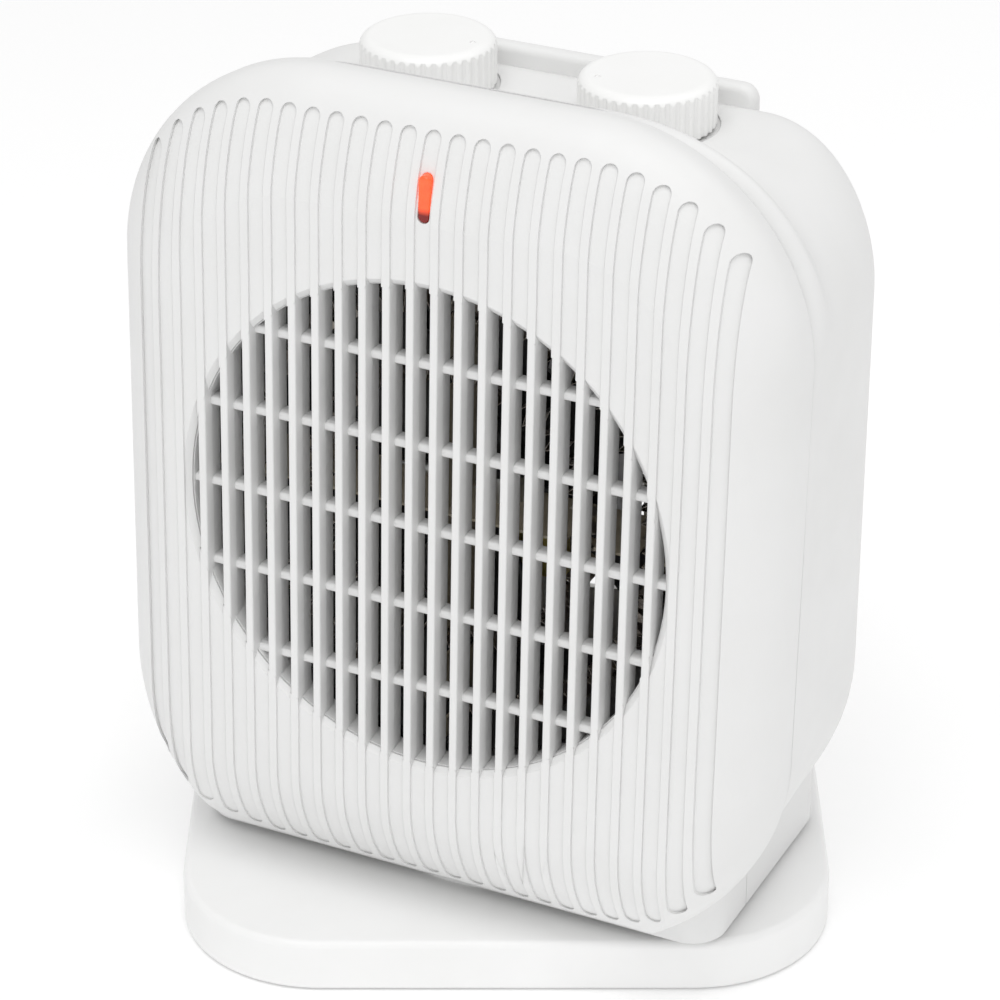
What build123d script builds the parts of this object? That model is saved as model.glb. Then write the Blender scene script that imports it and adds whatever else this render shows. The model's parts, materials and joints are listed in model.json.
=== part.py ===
from build123d import *
from math import atan2, cos, degrees, hypot, pi, radians, sin, sqrt
import os

# Oscillating fan heater: a flat head with a round grille turns on a low base.
# Millimetres. The origin lies on the swivel axis, on the surface the feet rest on. The base faces -Y.
# Head parts are drawn facing -Y and are then turned about the swivel axis to the rest pose.

# ---- head placement ----
REST_TURN = -25.9          # head angle about +Z at rest, degrees
LEAN = 2.2                 # backward lean of the face, degrees
GRILLE_Z = 149.6           # height of the grille centre
FACE_Y = -58.0             # face of the ribs at the grille centre

# ---- head outline, measured from the grille centre ----
PITCH = 7.6                # spacing of the flutes and the grille bars
HALF_WIDTH = 108.0
SIDE_ROUND = 27.4          # rounding from the face to the side walls
CROWN_ROUND = 60.8         # soft start of the crest
CROWN_START = 92.7
CROWN_TURN = 30.0          # degrees of the soft start
CREST_ROUND = 14.8         # tight round over the top of the crest
BELLY_ROUND = 45.6         # rounding from the face to the underside
BELLY_START = -90.4
TOP_CORNER = 67.0
BOTTOM_CORNER = 56.0       # lower corner rounds at the face
BOTTOM_CORNER_SEAM = 74.0  # lower corner rounds at the seam
BOTTOM_EDGE = -127.5       # lowest edge of the face outline, ahead of the belly cut
BOTTOM_EDGE_SEAM = -136.0
SEAM_DEPTH = 27.8          # front shell depth, at right angles to the face
SEAM_GAP = 0.25
WALL = 2.5
UNDERSIDE = -123.0         # flat underside of both shells
DECK = 106.4               # flat deck that carries the knobs
BACK_DEPTH = 108.0         # from the face to the back
BACK_SIDE_ROUND = 34.0
BACK_DRAFT = 0.025         # narrowing of each side for each millimetre behind the seam
BACK_TOP_ROUND = 10.6
BACK_CORNER = 44.0
BACK_BOTTOM_CORNER = 75.0
BACK_BELLY = 9.0           # the back sections run this far below the flat underside
BACK_SLOPE_START = 31.0    # the top falls from the crest to the deck between these depths
BACK_SLOPE_END = 58.0
RIDGE_HALF_W = 59.0
RIDGE_FRONT = 43.6
RIDGE_BACK = 49.6
RIDGE_HEIGHT = 5.6

# ---- flutes and grille ----
FLUTES = 25
FLUTE_WIDTH = 4.9
FLUTE_DEPTH = 0.6
FLUTE_TOP = 122.3
FLUTE_BOTTOM = -120.8
FLUTE_ARC = 58.0           # arc of the flute ends at the corners
FLUTE_ARC_X = 47.0
OPENING_R = 76.6
RIM_WIDTH = 2.2
BARS = 20
BAR_STEP = 3.8             # depth at which a bar is widest
BAR_EDGE = 0.6
BAR_FRONT = 1.2            # half widths of a bar at its front, its widest and its back
BAR_MIDDLE = 1.45
BAR_BACK = 0.95
GRILLE_DEPTH = 9.2
CROSS_BARS = 5
CROSS_PITCH = 26.2
CROSS_SETBACK = 3.4
CROSS_STEP = 5.4
CROSS_FRONT = 1.25         # half heights of a cross bar at its front and its highest
CROSS_MIDDLE = 1.45
CROSS_EDGE = 0.9
COLLAR_DEPTH = 11.0

# ---- plinth under the head ----
PLINTH_HALF_W = 88.0
PLINTH_FRONT = -40.8
PLINTH_BACK = 48.6
PLINTH_BOTTOM = 19.6
PLINTH_TOP = 42.6
PLINTH_CORNER = 11.0
PLINTH_SPLIT = -13.6
FLOOR_TOP = PLINTH_BOTTOM + WALL

# ---- knobs ----
KNOB_X = 35.3
KNOB_Y = 19.8
KNOB_R = 20.2
KNOB_HEIGHT = 14.4
KNOB_RIBS = 40
MODE_POINTER = 0.0         # direction of the pointer dimple at rest, degrees from +X
THERMOSTAT_POINTER = 214.0
DISH_R = 21.4
DISH_DEPTH = 0.6
DECK_Z = GRILLE_Z + DECK
SHAFT_R = 3.0
RUNNING_GAP = 0.06
KNOB_BOTTOM = DECK_Z + 0.5
ROOF_GAP = 0.15            # between the deck and the bodies of the two controls

# ---- base ----
BASE_HALF_W = 101.0
BASE_FRONT = -68.2
BASE_BACK = 76.0
BASE_CORNER = 44.0
FOOT_PROUD = 0.8
BASE_TOP = 17.4
RING_R = 39.0
PLATE_TOP = 3.6
FOOT_SPOTS = [(-76, -44), (76, -44), (-76, 53), (76, 53)]
FLANGE_SPOTS = [(18 * cos(radians(angle)), 18 * sin(radians(angle))) for angle in (30, 150, 270)]

# ---- swivel ----
SPINDLE_R = 10.0
HUB_R = 13.0               # bearing hub in the floor of the rear shell
LEVER_Z = 27.9
LEVER_T = 3.0
CRANK_Y = 22.0             # crank axis behind the swivel axis
CRANK_R = 12.6
PIN_R = 2.0
CRANK_RATIO = 2.92         # crank turn for each degree of head turn
DISC_Z = 33.2
DISC_T = 3.0
CLIP_Z = 31.0
CRANK_SHAFT_R = 3.0
BRACKET_Z = 38.6
BRACKET_T = 1.5

# ---- airway ----
DUCT_R = 78.4
DUCT_T = 0.8
DUCT_FRONT = -43.5
DUCT_BACK = 10.0
BOARD_DEPTHS = (-43.0, -19.0)
RIBBON_RADII = (66.0, 44.0)
RIBBON_WAVE = 3.6
RIBBON_T = 0.18
RIBBON_FRONT = -39.5
RIBBON_DEPTH = 5.0
FAN_R = 66.0
FAN_FRONT = -14.0
BLADES = 6
MOTOR_Y = 14.0
STACK_T = 18.0
MOTOR_SHAFT_R = 1.6
MOTOR_HOLE_R = 1.75        # holes for the motor screws
MOUNT_Y = 10.0

GLAND_X = 50.0
GLAND_Z = 43.6
GLAND_R = 6.0

LENS_Z = 104.0             # indicator lens in the middle flute
LENS_HEIGHT = 14.0
LENS_WIDTH = 3.6
LENS_SINK = 0.75

POST_R = 4.6
SCREW_SEAT_Y = 20.0
SCREW_CORE_R = 1.3
WELL_R = 7.0
WELL_BORE_R = 4.2
SCREW_SPOTS = [(-80, 74), (80, 74), (-76, -84), (76, -84)]


# ------------------------------------------------------------------ helpers

def along_y(sketch, start, end):
    """Extrude an XZ sketch from y = start to y = end."""
    return extrude(Plane.XZ.offset(-start) * sketch, -(end - start))


def up(sketch, start, end):
    """Extrude an XY sketch from z = start to z = end."""
    return extrude(Plane.XY.offset(start) * sketch, end - start)


def rod_y(radius, x, z, start, end):
    return along_y(Pos(x, z) * Circle(radius), start, end)


def post(radius, x, y, start, end):
    return up(Pos(x, y) * Circle(radius), start, end)


def block(x, y, z):
    """Box from three (low, high) pairs."""
    size = [high - low for low, high in (x, y, z)]
    middle = [(high + low) / 2 for low, high in (x, y, z)]
    return Pos(*middle) * Box(*size)


def one(shape):
    """The single solid of a boolean result."""
    solids = shape.solids()
    return max(solids, key=lambda solid: solid.volume)


def group(shapes):
    """Separate solids kept together in one node."""
    return Compound(children=[one(shape) for shape in shapes])


def on_face(shape):
    """From face coordinates, with y as depth behind the face, to the leaning face."""
    return Pos(0, FACE_Y, GRILLE_Z) * Rot(-LEAN, 0, 0) * shape


def quarter(radius, depth):
    """Rise of a quarter round of this radius at this depth from its start."""
    depth = min(max(depth, 0.0), radius)
    return sqrt(radius ** 2 - (radius - depth) ** 2)


def outline(half_width, top, bottom, top_corner, bottom_corner):
    """Head section, as a face in local x and y."""
    corners = [(-half_width, bottom), (half_width, bottom), (half_width, top), (-half_width, top)]
    sheet = make_face(Polyline(*corners, close=True))
    sheet = fillet(sheet.vertices().group_by(Axis.Y)[-1], top_corner)
    return fillet(sheet.vertices().sort_by(Axis.Y)[:2], bottom_corner)


# ------------------------------------------------------------------ head body

def crest_height(depth):
    """Top of the front shell at a depth behind the face: a soft round, then a tight one."""
    turn = radians(CROWN_TURN)
    join = CROWN_ROUND * (1 - cos(turn))
    if depth <= join:
        return CROWN_START + quarter(CROWN_ROUND, depth)
    centre_depth = join + CREST_ROUND * cos(turn)
    centre_height = CROWN_START + (CROWN_ROUND - CREST_ROUND) * sin(turn)
    return centre_height + sqrt(CREST_ROUND ** 2 - (centre_depth - depth) ** 2)


def front_outline(depth, inset):
    narrowing = SIDE_ROUND - quarter(SIDE_ROUND, depth)
    share = depth / SEAM_DEPTH
    return outline(
        HALF_WIDTH - narrowing - inset,
        crest_height(depth) - inset,
        BOTTOM_EDGE + (BOTTOM_EDGE_SEAM - BOTTOM_EDGE) * share + inset,
        TOP_CORNER - narrowing - inset,
        BOTTOM_CORNER + (BOTTOM_CORNER_SEAM - BOTTOM_CORNER) * share - inset,
    )


def belly(inset):
    """Room above the rounding from the face to the underside, in face coordinates."""
    centre = (BELLY_ROUND, BELLY_START)
    disc = Pos(*centre) * Circle(BELLY_ROUND - inset)
    above = Pos(BELLY_ROUND, BELLY_START + 150) * Rectangle(2 * (BELLY_ROUND - inset), 300)
    behind = Pos(BELLY_ROUND + 100, BELLY_START) * Rectangle(200, 600)
    return extrude(Plane.YZ.offset(-150) * (disc + above + behind), 300)


def front_blank(inset=0.0):
    """Solid front of the head out to an inset surface, in face coordinates."""
    depths = [SIDE_ROUND * (1 - cos(radians(angle))) for angle in (0, 16, 30, 44, 58, 72)] + [SEAM_DEPTH]
    sections = [Plane.XZ.offset(-depth - inset) * front_outline(depth, inset) for depth in depths]
    return loft(sections) & belly(inset)


def back_top(depth):
    """Top of the rear shell: down behind the crest, then flat."""
    share = min((depth - BACK_SLOPE_START) / (BACK_SLOPE_END - BACK_SLOPE_START), 1.0)
    return DECK + (crest_height(SEAM_DEPTH) - DECK) * (0.5 + 0.5 * cos(pi * share))


def back_section(depth, inset):
    rounding = BACK_SIDE_ROUND - quarter(BACK_SIDE_ROUND, BACK_DEPTH - depth)
    narrowing = rounding + BACK_DRAFT * (depth - SEAM_DEPTH)
    lowering = BACK_TOP_ROUND - quarter(BACK_TOP_ROUND, BACK_DEPTH - depth)
    blend = min((depth - BACK_SLOPE_START) / (BACK_SLOPE_END - BACK_SLOPE_START), 1.0)
    sheet = outline(
        HALF_WIDTH - narrowing - inset,
        back_top(depth) - lowering - inset,
        UNDERSIDE - BACK_BELLY + lowering + inset,
        TOP_CORNER + (BACK_CORNER - TOP_CORNER) * blend - rounding - inset,
        BOTTOM_CORNER_SEAM + (BACK_BOTTOM_CORNER - BOTTOM_CORNER_SEAM) * blend - rounding - inset,
    )
    shift = inset * depth / BACK_DEPTH
    return Plane.XZ.offset(-FACE_Y - depth + shift) * Pos(0, GRILLE_Z) * sheet


def back_blank(inset=0.0):
    """Solid rear of the head, from the leaning seam to the back."""
    seam = on_face(Plane.XZ.offset(-SEAM_DEPTH) * front_outline(SEAM_DEPTH, inset))
    turn_start = BACK_DEPTH - BACK_SIDE_ROUND
    rounding = [turn_start + BACK_SIDE_ROUND * sin(radians(angle)) for angle in (0, 20, 40, 58, 74, 90)]
    depths = [38.0, 44.0, 50.0, BACK_SLOPE_END, 68.0] + rounding
    return loft([seam] + [back_section(depth, inset) for depth in depths])


def plinth(inset=0.0):
    """Rounded block that carries the head over the base."""
    width = 2 * (PLINTH_HALF_W - inset)
    depth = PLINTH_BACK - PLINTH_FRONT - 2 * inset
    middle = (PLINTH_BACK + PLINTH_FRONT) / 2
    sheet = Pos(0, middle) * RectangleRounded(width, depth, PLINTH_CORNER - inset)
    return up(sheet, PLINTH_BOTTOM + inset, PLINTH_TOP - inset)


def above_underside(inset=0.0):
    low = GRILLE_Z + UNDERSIDE + inset
    return block((-150, 150), (-150, 150), (low, 400))


def behind_seam(shift):
    """Half space behind the leaning seam."""
    return on_face(block((-150, 150), (SEAM_DEPTH + shift, 300), (-200, 200)))


def hollowed(shell):
    """Clear the room inside the head and the plinth."""
    shell = shell - (on_face(front_blank(WALL)) & above_underside(WALL))
    shell = shell - (back_blank(WALL) & above_underside(WALL))
    return shell - plinth(WALL)


# ------------------------------------------------------------------ front shell

def flute_ends(x):
    """Height of the two ends of a flute, which follow the corners of the head."""
    over = max(abs(x) - FLUTE_ARC_X, 0.0)
    fall = FLUTE_ARC - sqrt(FLUTE_ARC ** 2 - over ** 2)
    return FLUTE_BOTTOM + fall, FLUTE_TOP - fall


def flutes():
    """Channels cut into the face down to a surface just below it."""
    channels = []
    for index in range(FLUTES):
        x = (index - (FLUTES - 1) / 2) * PITCH
        low, high = flute_ends(x)
        slot = Pos(x, (low + high) / 2) * SlotOverall(high - low, FLUTE_WIDTH, rotation=90)
        channels.append(along_y(slot, -5, SEAM_DEPTH - 3))
    return Compound(children=channels) - front_blank(FLUTE_DEPTH)


def tapered(front, front_half, middle, middle_half, back_half):
    """Bar section with depth along local x: widest at the middle depth, tapering to the front and the back."""
    points = [(front, -front_half), (middle, -middle_half), (GRILLE_DEPTH, -back_half),
              (GRILLE_DEPTH, back_half), (middle, middle_half), (front, front_half)]
    return make_face(Polyline(*points, close=True))


def bar(x):
    """Upright grille bar, flush with the ribs of the face."""
    half = sqrt((OPENING_R + RIM_WIDTH + 0.6) ** 2 - x ** 2)
    section = Pos(x, 0) * Rot(0, 0, 90) * tapered(0, BAR_FRONT, BAR_STEP, BAR_MIDDLE, BAR_BACK)
    section = fillet(section.vertices().group_by(Axis.Y)[0], BAR_EDGE)
    return up(section, -half, half)


def cross_bar(z):
    """Level grille bar, set back behind the upright ones."""
    half = sqrt((OPENING_R + 1.0) ** 2 - z ** 2)
    section = Pos(0, z) * tapered(CROSS_SETBACK, CROSS_FRONT, CROSS_STEP, CROSS_MIDDLE, BAR_BACK)
    section = fillet(section.vertices().group_by(Axis.X)[0], CROSS_EDGE)
    return extrude(Plane.YZ.offset(-half) * section, 2 * half)


def grille():
    bars = [bar((index - (BARS - 1) / 2) * PITCH) for index in range(BARS)]
    cross_bars = [cross_bar((index - (CROSS_BARS - 1) / 2) * CROSS_PITCH) for index in range(CROSS_BARS)]
    collar = along_y(Circle(OPENING_R + RIM_WIDTH) - Circle(OPENING_R), FLUTE_DEPTH + RIM_WIDTH, COLLAR_DEPTH)
    return Part() + bars + cross_bars + collar


def opening():
    """Round opening with a bevel at the flute floor."""
    hole = rod_y(OPENING_R, 0, 0, -5, COLLAR_DEPTH)
    bevel = Rot(90, 0, 0) * Cone(OPENING_R, OPENING_R + RIM_WIDTH, RIM_WIDTH)
    return hole + Pos(0, FLUTE_DEPTH + RIM_WIDTH / 2, 0) * bevel


def screw_posts():
    """Posts behind the face that take the long shell screws."""
    posts = [rod_y(POST_R, x, GRILLE_Z + z, FACE_Y + 4, SCREW_SEAT_Y - 0.1) for x, z in SCREW_SPOTS]
    holes = [rod_y(SCREW_CORE_R, x, GRILLE_Z + z, SCREW_SEAT_Y - 14, SCREW_SEAT_Y) for x, z in SCREW_SPOTS]
    return (Part() + posts) - holes


def front_shell():
    skin = on_face(front_blank() - flutes() - opening()) & above_underside()
    skin = skin - behind_seam(0)
    foot = plinth() & block((-150, 150), (-150, PLINTH_SPLIT), (0, PLINTH_TOP))
    foot = foot - (back_blank() & above_underside()) - (on_face(front_blank()) & above_underside())
    shell = hollowed(skin + foot)
    room = on_face(front_blank(1.5) + block((-150, 150), (25, 200), (-200, 200)))
    shell = shell + on_face(grille()) + (screw_posts() & room)
    slot = SlotOverall(LENS_HEIGHT + 0.2, LENS_WIDTH + 0.2, rotation=90)
    return one(shell - on_face(along_y(Pos(0, LENS_Z) * slot, -5, 16)))


# ------------------------------------------------------------------ rear shell

def intake():
    """Upright air slots in the back, in rows."""
    slots = Sketch() + [Pos((index - 8) * PITCH, 0) * Rectangle(4.2, 160) for index in range(17)]
    slots = slots & Circle(66)
    slots = slots - [Pos(0, (index - 2) * CROSS_PITCH) * Rectangle(160, 3.4) for index in range(5)]
    return along_y(Pos(0, GRILLE_Z - 4) * slots, 40, 60)


def ridge():
    """Low bar along the back edge of the deck."""
    sheet = Pos(0, DECK_Z + RIDGE_HEIGHT / 2 - 7) * Rectangle(2 * RIDGE_HALF_W, RIDGE_HEIGHT + 14)
    sheet = fillet(sheet.vertices().group_by(Axis.Y)[-1], 5.0)
    bar_solid = along_y(sheet, RIDGE_FRONT, RIDGE_BACK)
    rims = bar_solid.faces().sort_by(Axis.Y)[0].edges() + bar_solid.faces().sort_by(Axis.Y)[-1].edges()
    rims = [edge for edge in rims if edge.center().Z > DECK_Z]
    return fillet(rims, 2.4)


def wells():
    """Deep tubes in the rear shell that hold the heads of the shell screws."""
    outer = [rod_y(WELL_R, x, GRILLE_Z + z, SCREW_SEAT_Y, 60) for x, z in SCREW_SPOTS]
    return (Part() + outer) & back_blank(0.5)


def well_bores():
    bores = [rod_y(WELL_BORE_R, x, GRILLE_Z + z, SCREW_SEAT_Y + WALL, 70) for x, z in SCREW_SPOTS]
    holes = [rod_y(1.7, x, GRILLE_Z + z, SCREW_SEAT_Y - 1, SCREW_SEAT_Y + WALL + 1) for x, z in SCREW_SPOTS]
    return Part() + bores + holes


def rear_shell():
    in_front = on_face(block((-150, 150), (-50, SEAM_DEPTH + SEAM_GAP), (-200, 200)))
    skin = (back_blank() & above_underside()) - in_front
    foot = plinth() & block((-150, 150), (PLINTH_SPLIT + SEAM_GAP, 150), (0, PLINTH_TOP))
    shell = hollowed(skin + foot + ridge())
    shell = shell + wells() + post(HUB_R, 0, 0, PLINTH_BOTTOM, LEVER_Z - 0.3)
    shell = shell - well_bores() - intake()
    shell = shell - post(SPINDLE_R + RUNNING_GAP, 0, 0, PLINTH_BOTTOM - 1, LEVER_Z + 1)
    for x in (-KNOB_X, KNOB_X):
        shell = shell - post(DISH_R, x, KNOB_Y, DECK_Z - DISH_DEPTH, DECK_Z + 20)
        shell = shell - post(SHAFT_R + 1.5, x, KNOB_Y, DECK_Z - 10, DECK_Z + 1)
    shell = shell - rod_y(GLAND_R, GLAND_X, GLAND_Z, 40, 70)
    return one(shell)


def cord_gland():
    """Bush through the rear wall, with a flange outside and a ring inside."""
    back = FACE_Y + BACK_DEPTH
    body = rod_y(GLAND_R, GLAND_X, GLAND_Z, back - 6.5, back + 2)
    body = body + rod_y(8.6, GLAND_X, GLAND_Z, back, back + 2)
    body = body + rod_y(8.0, GLAND_X, GLAND_Z, back - 4.9, back - 2.7)
    return body - rod_y(3.6, GLAND_X, GLAND_Z, back - 10, back + 5)


# ------------------------------------------------------------------ indicator and controls

def indicator_lens():
    lens = along_y(SlotOverall(LENS_HEIGHT, LENS_WIDTH, rotation=90), 0, 7)
    lens = fillet(lens.faces().sort_by(Axis.Y)[0].edges(), 0.8)
    return on_face(Pos(0, LENS_SINK, LENS_Z) * lens)


def neon_lamp():
    bulb = rod_y(2.4, 0, LENS_Z, 10, 21)
    bulb = fillet(bulb.edges().group_by(Axis.Y)[0], 1.8)
    leads = [rod_y(0.5, x, LENS_Z, 20, 30) for x in (-1, 1)]
    return on_face(bulb + leads)


def knob(side, pointer):
    """Round cap with fine grip ribs, a rounded rim and a small pointer dimple."""
    body = Circle(KNOB_R - 0.35)
    rib = Pos(KNOB_R - 1.15, 0) * Circle(1.3)
    body = body + [Rot(0, 0, 360 * index / KNOB_RIBS) * rib for index in range(KNOB_RIBS)]
    cap = up(body, KNOB_BOTTOM, KNOB_BOTTOM + KNOB_HEIGHT)
    reach = KNOB_R + 0.4
    profile = Pos(reach / 2, KNOB_BOTTOM + KNOB_HEIGHT / 2) * Rectangle(reach, KNOB_HEIGHT)
    profile = fillet(profile.vertices().group_by(Axis.X)[-1].sort_by(Axis.Y)[-1], 3.8)
    cap = cap & revolve(Plane.XZ * profile, Axis.Z)
    hollow = post(KNOB_R - 3, 0, 0, KNOB_BOTTOM - 1, KNOB_BOTTOM + KNOB_HEIGHT - 3)
    hub = post(6.5, 0, 0, KNOB_BOTTOM + 0.6, KNOB_BOTTOM + KNOB_HEIGHT - 2)
    cap = cap - hollow + hub - post(SHAFT_R, 0, 0, KNOB_BOTTOM - 1, KNOB_BOTTOM + 9)
    dimple = Rot(0, 0, pointer) * Pos(KNOB_R - 5.6, 0, KNOB_BOTTOM + KNOB_HEIGHT) * Sphere(0.8)
    return Pos(side * KNOB_X, KNOB_Y) * one(cap - dimple)


def control_shaft(side):
    return post(SHAFT_R, side * KNOB_X, KNOB_Y, DECK_Z - 14, KNOB_BOTTOM + 9)


def rotary_switch():
    x, y, roof = -KNOB_X, KNOB_Y, DECK_Z - WALL - ROOF_GAP
    body = block((x - 14, x + 14), (y - 14, y + 14), (roof - 17, roof))
    body = fillet(body.edges().filter_by(Axis.Z), 2)
    tabs = [block((x + dx - 1.5, x + dx + 1.5), (y - 0.4, y + 0.4), (roof - 26, roof - 17)) for dx in (-9, -3, 3, 9)]
    return body + tabs - post(SHAFT_R + RUNNING_GAP, x, y, DECK_Z - 14.2, DECK_Z)


def thermostat():
    x, y, roof = KNOB_X, KNOB_Y, DECK_Z - WALL - ROOF_GAP
    body = post(12, x, y, roof - 14, roof)
    arm = block((x + 8, x + 30), (y - 4, y + 4), (roof - 12, roof - 9))
    blade = block((x + 12, x + 34), (y - 3, y + 3), (roof - 7.4, roof - 6.4))
    foot = block((x + 10, x + 14), (y - 4, y + 4), (roof - 12, roof - 5))
    return body + arm + blade + foot - post(SHAFT_R + RUNNING_GAP, x, y, DECK_Z - 14.2, DECK_Z)


# ------------------------------------------------------------------ heater and airway

def air_duct():
    tube = along_y(Circle(DUCT_R) - Circle(DUCT_R - DUCT_T), DUCT_FRONT, DUCT_BACK)
    lip = along_y(Circle(DUCT_R + 2) - Circle(DUCT_R - DUCT_T), DUCT_BACK - 1, DUCT_BACK)
    return Pos(0, 0, GRILLE_Z) * (tube + lip)


def mica_frame():
    """Two crossed insulating boards with notches for the heating ribbons."""
    reach = DUCT_R - DUCT_T - 0.6
    boards = block((-reach, reach), BOARD_DEPTHS, (-0.4, 0.4)) + block((-0.4, 0.4), BOARD_DEPTHS, (-reach, reach))
    for radius in RIBBON_RADII:
        ring = Circle(radius + RIBBON_WAVE + 1) - Circle(radius - RIBBON_WAVE - 1)
        boards = boards - along_y(ring, BOARD_DEPTHS[0] - 1, RIBBON_FRONT + RIBBON_DEPTH + 0.6)
    return Pos(0, 0, GRILLE_Z) * boards


def heating_ribbon(radius, teeth):
    """Zigzag resistance ribbon bent round in a ring."""
    def zigzag(shift):
        points = []
        for index in range(2 * teeth):
            reach = radius + shift + (RIBBON_WAVE if index % 2 else -RIBBON_WAVE)
            angle = pi * index / teeth
            points.append((reach * cos(angle), reach * sin(angle)))
        return make_face(Polyline(*points, close=True))
    band = zigzag(RIBBON_T) - zigzag(-RIBBON_T)
    return Pos(0, 0, GRILLE_Z) * along_y(band, RIBBON_FRONT, RIBBON_FRONT + RIBBON_DEPTH)


def thermal_cutout():
    body = Pos(12, -24, GRILLE_Z + 0.4) * Cylinder(7, 8, align=(Align.CENTER, Align.CENTER, Align.MIN))
    ears = block((2, 22), (-26, -22), (GRILLE_Z + 0.4, GRILLE_Z + 1.2))
    return body + ears


def thermal_fuse():
    body = Pos(-14, -24, GRILLE_Z + 2.6) * Rot(0, 90, 0) * Cylinder(2.1, 10)
    leads = Pos(-14, -24, GRILLE_Z + 2.6) * Rot(0, 90, 0) * Cylinder(0.5, 24)
    return body + leads


def fan_impeller():
    hub = rod_y(14, 0, 0, FAN_FRONT, 4) - rod_y(11.5, 0, 0, FAN_FRONT + 3, 5)
    hub = fillet(hub.edges().group_by(Axis.Y)[0], 2.4)
    hub = hub + rod_y(4.5, 0, 0, FAN_FRONT + 1, 4)
    blades = []
    for index in range(BLADES):
        ribs = []
        for radius, chord, twist in ((13, 22, 48), (40, 34, 34), (FAN_R, 40, 24)):
            ribs.append(Plane.XY.offset(radius) * Pos(0, -5) * Rot(0, 0, twist) * RectangleRounded(chord, 1.7, 0.8))
        blades.append(Rot(0, 360 * index / BLADES, 0) * loft(ribs))
    wheel = (hub + blades) - rod_y(MOTOR_SHAFT_R, 0, 0, FAN_FRONT + 2, 8)
    return Pos(0, 0, GRILLE_Z) * one(wheel)


def motor_shaft():
    return rod_y(MOTOR_SHAFT_R, 0, GRILLE_Z, FAN_FRONT + 2, MOTOR_Y + STACK_T + 7)


def motor_rotor():
    return rod_y(11.2, 0, GRILLE_Z, MOTOR_Y + 1, MOTOR_Y + STACK_T - 1) - rod_y(MOTOR_SHAFT_R, 0, GRILLE_Z, 0, 60)


def motor_stator():
    depth = (MOTOR_Y, MOTOR_Y + STACK_T)
    stack = block((-28, 28), depth, (-42, 20)) - rod_y(11.6, 0, 0, 0, 60)
    stack = stack - block((-17, 17), (0, 60), (-32, -16))
    holes = [rod_y(MOTOR_HOLE_R, x, 8, 0, 60) for x in (-23, 23)]
    return Pos(0, 0, GRILLE_Z) * (stack - holes)


def motor_coil():
    coil = block((-15, 15), (MOTOR_Y - 5, MOTOR_Y + STACK_T + 5), (-47, -27))
    coil = fillet(coil.edges().filter_by(Axis.X), 3)
    return Pos(0, 0, GRILLE_Z) * (coil - block((-17, 17), (MOTOR_Y, MOTOR_Y + STACK_T), (-42, -32)))


def motor_bridge(start, bush_start):
    plate = block((-28, 28), (start, start + 2), (2, 14)) + rod_y(9, 0, 0, start, start + 2)
    plate = plate + rod_y(5, 0, 0, bush_start, bush_start + 4)
    plate = plate - rod_y(MOTOR_SHAFT_R + RUNNING_GAP, 0, 0, 0, 60)
    return Pos(0, 0, GRILLE_Z) * (plate - [rod_y(MOTOR_HOLE_R, x, 8, 0, 60) for x in (-23, 23)])


def motor_screws():
    screws = []
    for x in (-23, 23):
        screw = rod_y(1.6, x, GRILLE_Z + 8, MOUNT_Y, MOTOR_Y + STACK_T + 3)
        screws.append(screw + rod_y(3, x, GRILLE_Z + 8, MOTOR_Y + STACK_T + 2, MOTOR_Y + STACK_T + 4))
    return group(screws)


def motor_mount():
    """Crossed arms that clamp the duct and the motor to the posts of the front shell."""
    flat = Circle(DUCT_R) - Circle(DUCT_R - 7) + Circle(26)
    for x, z in SCREW_SPOTS:
        length = hypot(x, z)
        arm = Rot(0, 0, degrees(atan2(z, x))) * Pos(length / 2, 0) * Rectangle(length, 11)
        flat = flat + arm + Pos(x, z) * Circle(8)
    flat = flat - Circle(5.2) - [Pos(x, z) * Circle(POST_R) for x, z in SCREW_SPOTS]
    flat = flat - [Pos(x, 8) * Circle(MOTOR_HOLE_R) for x in (-23, 23)]
    return Pos(0, 0, GRILLE_Z) * along_y(flat, MOUNT_Y, MOTOR_Y - 2)


def shell_screws():
    screws = []
    for x, z in SCREW_SPOTS:
        seat = SCREW_SEAT_Y + WALL
        screws.append(rod_y(SCREW_CORE_R, x, GRILLE_Z + z, SCREW_SEAT_Y - 12, seat)
                      + rod_y(3.4, x, GRILLE_Z + z, seat, seat + 2.2))
    return group(screws)


def terminal_block():
    body = block((-74, -46), (14, 26), (FLOOR_TOP, FLOOR_TOP + 14))
    holes = [Pos(x, 20, FLOOR_TOP + 8) * Rot(90, 0, 0) * Cylinder(2.2, 30) for x in (-68, -60, -52)]
    return body - holes


# ------------------------------------------------------------------ base and swivel

def base_outline(inset):
    width = 2 * (BASE_HALF_W - inset)
    depth = BASE_BACK - BASE_FRONT - 2 * inset
    return Pos(0, (BASE_BACK + BASE_FRONT) / 2) * RectangleRounded(width, depth, BASE_CORNER - inset)


def base_shell():
    slab = up(base_outline(0), FOOT_PROUD, BASE_TOP)
    slab = fillet(slab.faces().sort_by(Axis.Z)[-1].edges(), 2.2)
    slab = fillet(slab.faces().sort_by(Axis.Z)[0].edges(), 0.6)
    slab = slab - up(base_outline(WALL), 0, BASE_TOP - WALL)
    rings = post(RING_R, 0, 0, BASE_TOP - 1, BASE_TOP + 1.0) + post(RING_R - 3.2, 0, 0, BASE_TOP, BASE_TOP + 1.6)
    rings = fillet(rings.edges().filter_by(GeomType.CIRCLE).sort_by(Axis.Z)[-1], 0.4)
    bosses = [post(5, x, y, PLATE_TOP, BASE_TOP - 1) for x, y in FOOT_SPOTS]
    shell = slab + rings + bosses
    shell = shell - [post(1.4, x, y, 0, BASE_TOP - 4) for x, y in FOOT_SPOTS]
    shell = shell - [post(1.4, x, y, 0, BASE_TOP - 1) for x, y in FLANGE_SPOTS]
    return one(shell - post(SPINDLE_R, 0, 0, 0, 30))


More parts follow.
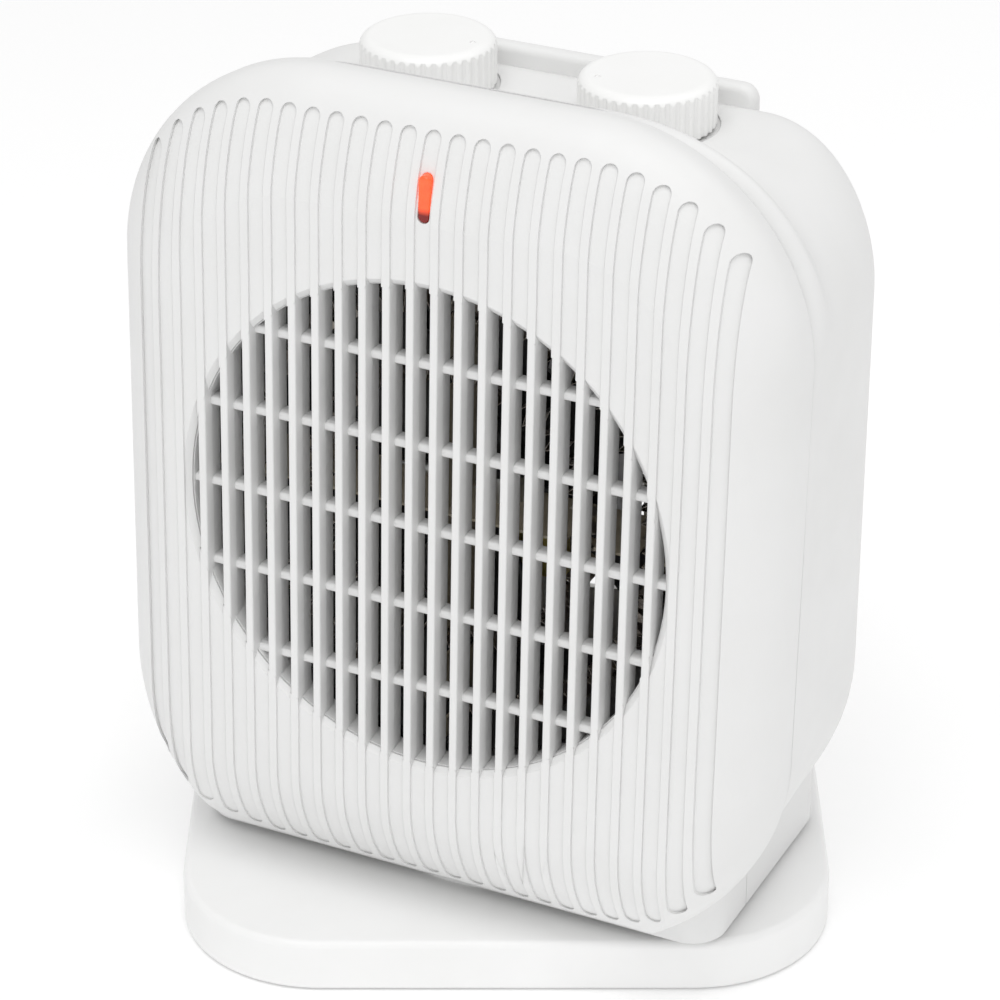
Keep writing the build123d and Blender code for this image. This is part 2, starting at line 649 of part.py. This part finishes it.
def base_plate():
    plate = up(base_outline(WALL + 0.2), PLATE_TOP - 2, PLATE_TOP)
    return one(plate - [post(1.7, x, y, 0, 10) for x, y in FOOT_SPOTS])


def base_screws():
    screws = []
    for x, y in FOOT_SPOTS:
        screws.append(post(1.4, x, y, PLATE_TOP - 2, BASE_TOP - 5) + post(2.8, x, y, PLATE_TOP - 3, PLATE_TOP - 2))
    return group(screws)


def rubber_feet():
    feet = []
    for x, y in FOOT_SPOTS:
        inward = 0.84
        foot = post(7.5, x * inward, y * inward, 0, PLATE_TOP - 2)
        feet.append(chamfer(foot.edges().group_by(Axis.Z)[0], 0.4))
    return group(feet)


def swivel_spindle():
    """Hollow spindle on a flange under the base top, with a groove for the clip."""
    roof = BASE_TOP - WALL
    body = post(SPINDLE_R, 0, 0, roof - 3, CLIP_Z + 1.8) + post(24, 0, 0, roof - 3, roof)
    groove = post(SPINDLE_R + 1, 0, 0, CLIP_Z, CLIP_Z + 1.0) - post(SPINDLE_R - 1.2, 0, 0, CLIP_Z, CLIP_Z + 1.0)
    body = body - groove - post(6.5, 0, 0, 0, 60)
    return body - [post(1.7, x, y, 0, BASE_TOP - 1) for x, y in FLANGE_SPOTS]


def flange_screws():
    roof = BASE_TOP - WALL
    return group([post(1.4, x, y, roof - 3, BASE_TOP - 1.2) + post(3, x, y, roof - 4.8, roof - 3)
                  for x, y in FLANGE_SPOTS])


def spindle_clip():
    ring = Circle(SPINDLE_R + 3) - Circle(SPINDLE_R - 1.2) - Pos(0, -12) * Rectangle(9, 12)
    return one(up(ring, CLIP_Z, CLIP_Z + 1.0))


def glide_ring():
    return up(Circle(RING_R - 7) - Circle(RING_R - 15), BASE_TOP + 1.6, PLINTH_BOTTOM - 0.1)


def swivel_lever():
    """Arm fixed to the spindle; the crank pin runs in its slot and swings the head."""
    flat = Circle(15.5) + Pos(0, 22) * RectangleRounded(13.4, 42, 6)
    slot = Pos(0, 28) * SlotOverall(23.5, 2 * PIN_R + 2.6, rotation=90)
    return up(flat - slot - Circle(SPINDLE_R), LEVER_Z, LEVER_Z + LEVER_T)


def crank():
    """Crank disc with its pin, drawn at the rest phase."""
    phase = radians(90 - CRANK_RATIO * REST_TURN)
    pin_x = CRANK_R * cos(phase)
    pin_y = CRANK_Y + CRANK_R * sin(phase)
    disc = post(CRANK_R + 3.6, 0, CRANK_Y, DISC_Z, DISC_Z + DISC_T)
    disc = disc + post(5.5, 0, CRANK_Y, DISC_Z, DISC_Z + DISC_T + 1.6)
    disc = disc + post(PIN_R, pin_x, pin_y, LEVER_Z + 0.2, DISC_Z + 1)
    return disc - post(CRANK_SHAFT_R, 0, CRANK_Y, DISC_Z + 0.6, DISC_Z + 9)


def crank_shaft():
    return post(CRANK_SHAFT_R, 0, CRANK_Y, DISC_Z + 0.6, BRACKET_Z + 6)


def oscillation_motor():
    low = BRACKET_Z + BRACKET_T
    can = post(24.5, 0, CRANK_Y, low, low + 15)
    can = fillet(can.edges().group_by(Axis.Z)[-1], 1.5)
    ears = block((-34, 34), (CRANK_Y - 4, CRANK_Y + 4), (low, low + 1))
    can = can + ears - post(CRANK_SHAFT_R + RUNNING_GAP, 0, CRANK_Y, low - 1, BRACKET_Z + 6.2)
    return can - [post(1.7, x, CRANK_Y, 0, 80) for x in (-31, 31)]


def oscillation_bracket():
    """Bridge over the crank that carries the swing motor."""
    plate = block((-42, 42), (CRANK_Y - 9, CRANK_Y + 9), (BRACKET_Z, BRACKET_Z + BRACKET_T))
    plate = fillet(plate.edges().filter_by(Axis.Z), 3)
    legs = [post(4, x, CRANK_Y, FLOOR_TOP, BRACKET_Z) for x in (-37.5, 37.5)]
    holes = [post(1.5, x, CRANK_Y, BRACKET_Z - 4, BRACKET_Z + 5) for x in (-31, 31)]
    return plate + legs - post(CRANK_SHAFT_R + 1.5, 0, CRANK_Y, BRACKET_Z - 1, 60) - holes


def oscillation_screws():
    top = BRACKET_Z + BRACKET_T + 1
    return group([post(1.5, x, CRANK_Y, BRACKET_Z, top) + post(3, x, CRANK_Y, top, top + 1.8)
                  for x in (-31, 31)])


# ------------------------------------------------------------------ output

BASE_NODES = {
    "base_shell": base_shell,
    "base_plate": base_plate,
    "base_screws": base_screws,
    "rubber_feet": rubber_feet,
    "swivel_spindle": swivel_spindle,
    "flange_screws": flange_screws,
    "spindle_clip": spindle_clip,
    "glide_ring": glide_ring,
    "swivel_lever": swivel_lever,
}

HEAD_NODES = {
    "front_shell": front_shell,
    "rear_shell": rear_shell,
    "cord_gland": cord_gland,
    "indicator_lens": indicator_lens,
    "neon_lamp": neon_lamp,
    "mode_knob": lambda: knob(-1, MODE_POINTER),
    "thermostat_knob": lambda: knob(1, THERMOSTAT_POINTER),
    "mode_shaft": lambda: control_shaft(-1),
    "thermostat_shaft": lambda: control_shaft(1),
    "rotary_switch": rotary_switch,
    "thermostat": thermostat,
    "air_duct": air_duct,
    "mica_frame": mica_frame,
    "heating_ribbon_outer": lambda: heating_ribbon(RIBBON_RADII[0], 84),
    "heating_ribbon_inner": lambda: heating_ribbon(RIBBON_RADII[1], 54),
    "thermal_cutout": thermal_cutout,
    "thermal_fuse": thermal_fuse,
    "fan_impeller": fan_impeller,
    "motor_shaft": motor_shaft,
    "motor_rotor": motor_rotor,
    "motor_stator": motor_stator,
    "motor_coil": motor_coil,
    "motor_bridge_front": lambda: motor_bridge(MOTOR_Y - 2, MOTOR_Y - 6),
    "motor_bridge_rear": lambda: motor_bridge(MOTOR_Y + STACK_T, MOTOR_Y + STACK_T + 2),
    "motor_mount": motor_mount,
    "motor_screws": motor_screws,
    "shell_screws": shell_screws,
    "terminal_block": terminal_block,
    "crank": crank,
    "crank_shaft": crank_shaft,
    "oscillation_motor": oscillation_motor,
    "oscillation_bracket": oscillation_bracket,
    "oscillation_screws": oscillation_screws,
}

os.makedirs("parts", exist_ok=True)
for name, make in BASE_NODES.items():
    export_step(make(), f"parts/{name}.step")
for name, make in HEAD_NODES.items():
    export_step(Rot(0, 0, REST_TURN) * make(), f"parts/{name}.step")
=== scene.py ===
import json
import math

import bpy
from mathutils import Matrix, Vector

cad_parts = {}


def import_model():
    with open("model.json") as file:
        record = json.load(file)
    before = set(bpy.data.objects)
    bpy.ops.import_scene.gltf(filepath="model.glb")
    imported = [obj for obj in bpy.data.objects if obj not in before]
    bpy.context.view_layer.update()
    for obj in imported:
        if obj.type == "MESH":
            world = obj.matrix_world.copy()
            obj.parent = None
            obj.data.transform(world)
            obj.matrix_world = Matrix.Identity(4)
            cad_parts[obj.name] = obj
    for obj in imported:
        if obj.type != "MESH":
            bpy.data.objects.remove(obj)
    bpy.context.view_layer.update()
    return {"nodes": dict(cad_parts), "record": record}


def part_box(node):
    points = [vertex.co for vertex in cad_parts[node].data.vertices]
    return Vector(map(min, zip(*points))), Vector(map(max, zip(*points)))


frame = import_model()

NODES = frame["nodes"]

# Surfaces: noise scales are cycles per metre, distances are metres.
MOTTLE_SCALE = 28.0
SMEAR_SCALE = 75.0
SWELL_SCALE = 9.0          # slow unevenness of a moulded wall
SWELL_STRENGTH = 0.05
SWELL_DISTANCE = 0.0006
BEVEL_SAMPLES = 4
# The lens glow is painted light: emission stands in for the lamp's light shining through the lens, and the foot below
# it is painted shade.
LENS_PAINTED_GLOW = 0.85
LENS_SHADED_SHARE = 0.18     # share of the lens height below the glow, painted as shade
LENS_LIT_SHARE = 0.34
LAMP_GLOW = 1.5

# Studio: metres, watts and degrees.
FLOOR_HALF = 12.0
FLOOR_GLOW = 0.11
WORLD_STRENGTH = 0.64
LIGHTS = {
    "top": {"at": (-0.2, -0.8, 2.3), "target": (0.0, 0.0, 0.08), "size": 1.8, "energy": 22.5},
    "front": {"at": (-0.2, -2.3, 1.0), "target": (0.0, 0.0, 0.12), "size": 1.8, "energy": 5.0},
    "right": {"at": (1.3, 0.5, 2.0), "target": (0.0, 0.0, 0.05), "size": 1.2, "energy": 5.0},
}
CAMERA_AT = (-0.0020, -0.9978, 0.6726)
CAMERA_TILT = 61.60
CAMERA_LENS = 134.43       # millimetres on the sensor below
CAMERA_SENSOR = 36.0


# ------------------------------------------------------------------ materials

def tree_of(material):
    material.use_nodes = True
    tree = material.node_tree
    return tree, tree.nodes["Principled BSDF"]


def noise(tree, vector, scale, detail=3.0, rough=0.55):
    node = tree.nodes.new("ShaderNodeTexNoise")
    node.inputs["Scale"].default_value = scale
    node.inputs["Detail"].default_value = detail
    node.inputs["Roughness"].default_value = rough
    tree.links.new(vector, node.inputs["Vector"])
    return node.outputs["Fac"]


def ramp(tree, value, low, high, low_at=0.35, high_at=0.65):
    """Map a 0 to 1 value onto a range, with the ends held."""
    node = tree.nodes.new("ShaderNodeMapRange")
    node.inputs["From Min"].default_value = low_at
    node.inputs["From Max"].default_value = high_at
    node.inputs["To Min"].default_value = low
    node.inputs["To Max"].default_value = high
    tree.links.new(value, node.inputs["Value"])
    return node.outputs["Result"]


def mix(tree, factor, first, second):
    node = tree.nodes.new("ShaderNodeMix")
    node.data_type = "RGBA"
    node.inputs["A"].default_value = (*first, 1.0)
    node.inputs["B"].default_value = (*second, 1.0)
    tree.links.new(factor, node.inputs["Factor"])
    return node.outputs["Result"]


def bump(tree, height, strength, distance, before=None):
    node = tree.nodes.new("ShaderNodeBump")
    node.inputs["Strength"].default_value = strength
    node.inputs["Distance"].default_value = distance
    tree.links.new(height, node.inputs["Height"])
    if before is not None:
        tree.links.new(before, node.inputs["Normal"])
    return node.outputs["Normal"]


def coordinates(tree, stretch=(1.0, 1.0, 1.0)):
    where = tree.nodes.new("ShaderNodeTexCoord")
    mapping = tree.nodes.new("ShaderNodeMapping")
    mapping.inputs["Scale"].default_value = stretch
    tree.links.new(where.outputs["Object"], mapping.inputs["Vector"])
    return mapping.outputs["Vector"]


def soft_edges(tree, radius):
    """Normals rounded over by a radius at sharp edges."""
    node = tree.nodes.new("ShaderNodeBevel")
    node.samples = BEVEL_SAMPLES
    node.inputs["Radius"].default_value = radius
    return node.outputs["Normal"]


def surface(name, light, dark, roughness, grain, metallic=0.0, stretch=(1.0, 1.0, 1.0), edge=0.0):
    """Mottled colour, uneven gloss and a fine grain.

    roughness is its lowest and highest value, grain is scale, strength and distance, edge is a bevel radius.
    """
    material = bpy.data.materials.new(name)
    tree, shader = tree_of(material)
    vector = coordinates(tree, stretch)
    cloud = noise(tree, vector, MOTTLE_SCALE, 4.0)
    tree.links.new(mix(tree, ramp(tree, cloud, 0.0, 1.0), dark, light), shader.inputs["Base Color"])
    smear = noise(tree, vector, SMEAR_SCALE, 5.0, 0.65)
    tree.links.new(ramp(tree, smear, roughness[0], roughness[1]), shader.inputs["Roughness"])
    fine = noise(tree, vector, grain[0], 2.0, 0.5)
    swell = noise(tree, vector, SWELL_SCALE, 1.0, 0.4)
    rounded = soft_edges(tree, edge) if edge else None
    normal = bump(tree, swell, SWELL_STRENGTH, SWELL_DISTANCE, rounded)
    tree.links.new(bump(tree, fine, grain[1], grain[2], normal), shader.inputs["Normal"])
    shader.inputs["Metallic"].default_value = metallic
    return material


MATERIALS = {
    # One real white plastic in two copies: the head's copy is set darker as painted shade, and the base's copy
    # lighter as painted light for its brighter lit top.
    "white_abs": surface("white_abs", (0.80, 0.80, 0.796), (0.78, 0.78, 0.774), (0.40, 0.50), (1500.0, 0.14, 0.0001),
                         edge=0.0004),
    "base_abs_painted_light": surface("base_abs_painted_light", (0.91, 0.91, 0.906), (0.89, 0.89, 0.884), (0.42, 0.52), (1500.0, 0.14, 0.0001),
                        edge=0.0004),
    "knob_white": surface("knob_white", (0.91, 0.91, 0.905), (0.89, 0.89, 0.88), (0.30, 0.40), (1800.0, 0.03, 0.0001),
                          edge=0.0004),
    "plated_steel": surface("plated_steel", (0.72, 0.73, 0.74), (0.60, 0.61, 0.60), (0.25, 0.42),
                            (900.0, 0.12, 0.0001), 1.0, (1.0, 1.0, 5.0)),
    "foot_rubber": surface("foot_rubber", (0.09, 0.09, 0.09), (0.06, 0.06, 0.06), (0.75, 0.9), (1200.0, 0.3, 0.0002)),
    "gland_plastic": surface("gland_plastic", (0.70, 0.70, 0.69), (0.64, 0.64, 0.63), (0.5, 0.62),
                             (1200.0, 0.15, 0.0001)),
    "glide_plastic": surface("glide_plastic", (0.80, 0.79, 0.74), (0.74, 0.73, 0.68), (0.3, 0.45),
                             (1200.0, 0.08, 0.0001)),
    "control_plastic": surface("control_plastic", (0.03, 0.03, 0.03), (0.02, 0.02, 0.02), (0.45, 0.6),
                               (1200.0, 0.15, 0.0001)),
    "mica": surface("mica", (0.55, 0.49, 0.38), (0.36, 0.31, 0.23), (0.35, 0.6), (600.0, 0.3, 0.0002)),
    "ribbon_alloy": surface("ribbon_alloy", (0.74, 0.70, 0.64), (0.50, 0.44, 0.38), (0.2, 0.4),
                            (900.0, 0.2, 0.0001), 1.0),
    "lamination_steel": surface("lamination_steel", (0.30, 0.30, 0.31), (0.18, 0.17, 0.17), (0.4, 0.6),
                                (500.0, 0.3, 0.0002), 1.0),
    "coil_wrap": surface("coil_wrap", (0.75, 0.62, 0.18), (0.62, 0.50, 0.14), (0.3, 0.5), (800.0, 0.2, 0.0002)),
    "bearing_alloy": surface("bearing_alloy", (0.66, 0.66, 0.68), (0.52, 0.52, 0.54), (0.35, 0.5),
                             (800.0, 0.2, 0.0001), 1.0),
    "fan_plastic": surface("fan_plastic", (0.022, 0.022, 0.022), (0.015, 0.015, 0.015), (0.4, 0.55),
                           (1200.0, 0.15, 0.0001)),
}


def lit_lens():
    """Red lens with painted light: emission and a lighter colour stand in for the lamp shining through it where the
    lamp stands behind it, and the darker foot is painted shade.
    """
    material = bpy.data.materials.new("red_lens")
    tree, shader = tree_of(material)
    vector = coordinates(tree)
    split = tree.nodes.new("ShaderNodeSeparateXYZ")
    tree.links.new(vector, split.inputs["Vector"])
    low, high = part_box("indicator_lens")
    height = high[2] - low[2]
    shaded_top = low[2] + LENS_SHADED_SHARE * height
    lit_from = low[2] + LENS_LIT_SHARE * height
    # Painted light mask: 0 on the painted shade of the foot, 1 where the lamp's light is painted on the lens.
    lit = ramp(tree, split.outputs["Z"], 0.0, 1.0, shaded_top, lit_from)
    tree.links.new(mix(tree, lit, (0.14, 0.004, 0.002), (0.80, 0.07, 0.02)), shader.inputs["Base Color"])
    tree.links.new(mix(tree, lit, (0.10, 0.002, 0.001), (1.0, 0.11, 0.03)), shader.inputs["Emission Color"])
    glow = tree.nodes.new("ShaderNodeMath")
    glow.operation = "MULTIPLY"
    glow.inputs[1].default_value = LENS_PAINTED_GLOW
    flicker = noise(tree, vector, 260.0, 2.0)
    tree.links.new(ramp(tree, flicker, 0.75, 1.0), glow.inputs[0])
    tree.links.new(glow.outputs["Value"], shader.inputs["Emission Strength"])
    ribs = noise(tree, vector, 700.0, 1.0)
    tree.links.new(bump(tree, ribs, 0.08, 0.0001), shader.inputs["Normal"])
    tree.links.new(ramp(tree, ribs, 0.10, 0.18), shader.inputs["Roughness"])
    return material


def lamp_glass():
    """Glowing neon bulb behind the lens."""
    material = bpy.data.materials.new("lamp_glass")
    tree, shader = tree_of(material)
    vector = coordinates(tree)
    cloud = noise(tree, vector, 400.0, 2.0)
    tree.links.new(mix(tree, cloud, (1.0, 0.32, 0.10), (1.0, 0.45, 0.18)), shader.inputs["Base Color"])
    tree.links.new(mix(tree, cloud, (1.0, 0.25, 0.06), (1.0, 0.36, 0.12)), shader.inputs["Emission Color"])
    shader.inputs["Emission Strength"].default_value = LAMP_GLOW
    tree.links.new(ramp(tree, cloud, 0.05, 0.12), shader.inputs["Roughness"])
    return material


MATERIALS["red_lens"] = lit_lens()
MATERIALS["lamp_glass"] = lamp_glass()


def dress(obj, material):
    obj.data.materials.clear()
    obj.data.materials.append(material)


for entry in frame["record"]["subparts"]:
    if entry["node"] in NODES:
        dress(NODES[entry["node"]], MATERIALS[entry["material_slot"]])
# Painted light: the base shell wears the lighter lit copy of the white plastic.
dress(NODES["base_shell"], MATERIALS["base_abs_painted_light"])


# ------------------------------------------------------------------ floor, light and camera

def floor_material():
    """Pale paper with a faint glow of its own."""
    material = bpy.data.materials.new("floor_paper")
    tree, shader = tree_of(material)
    vector = coordinates(tree)
    cloud = noise(tree, vector, 3.0, 3.0)
    tree.links.new(mix(tree, cloud, (0.93, 0.93, 0.93), (0.95, 0.95, 0.95)), shader.inputs["Base Color"])
    shader.inputs["Roughness"].default_value = 0.85
    shader.inputs["Emission Color"].default_value = (1.0, 1.0, 1.0, 1.0)
    shader.inputs["Emission Strength"].default_value = FLOOR_GLOW
    return material


def floor():
    mesh = bpy.data.meshes.new("floor")
    half = FLOOR_HALF
    corners = [(-half, -half, 0), (half, -half, 0), (half, half, 0), (-half, half, 0)]
    mesh.from_pydata(corners, [], [(0, 1, 2, 3)])
    obj = bpy.data.objects.new("floor", mesh)
    bpy.context.scene.collection.objects.link(obj)
    obj.data.materials.append(floor_material())


def area_light(name, at, target, size, energy):
    data = bpy.data.lights.new(name, "AREA")
    data.shape = "SQUARE"
    data.size = size
    data.energy = energy
    obj = bpy.data.objects.new(name, data)
    obj.location = at
    obj.rotation_euler = (Vector(target) - Vector(at)).to_track_quat("-Z", "Y").to_euler()
    bpy.context.scene.collection.objects.link(obj)


def world():
    scene_world = bpy.data.worlds.new("studio")
    bpy.context.scene.world = scene_world
    scene_world.use_nodes = True
    back = scene_world.node_tree.nodes["Background"]
    back.inputs["Color"].default_value = (1.0, 1.0, 1.0, 1.0)
    back.inputs["Strength"].default_value = WORLD_STRENGTH


def camera():
    data = bpy.data.cameras.new("camera")
    data.sensor_width = CAMERA_SENSOR
    data.lens = CAMERA_LENS
    data.clip_end = 50.0
    obj = bpy.data.objects.new("camera", data)
    obj.location = CAMERA_AT
    obj.rotation_euler = (math.radians(CAMERA_TILT), 0.0, 0.0)
    bpy.context.scene.collection.objects.link(obj)
    bpy.context.scene.camera = obj


floor()
world()
for light_name, facts in LIGHTS.items():
    area_light(light_name, **facts)
camera()
bpy.context.scene.view_settings.view_transform = "Standard"
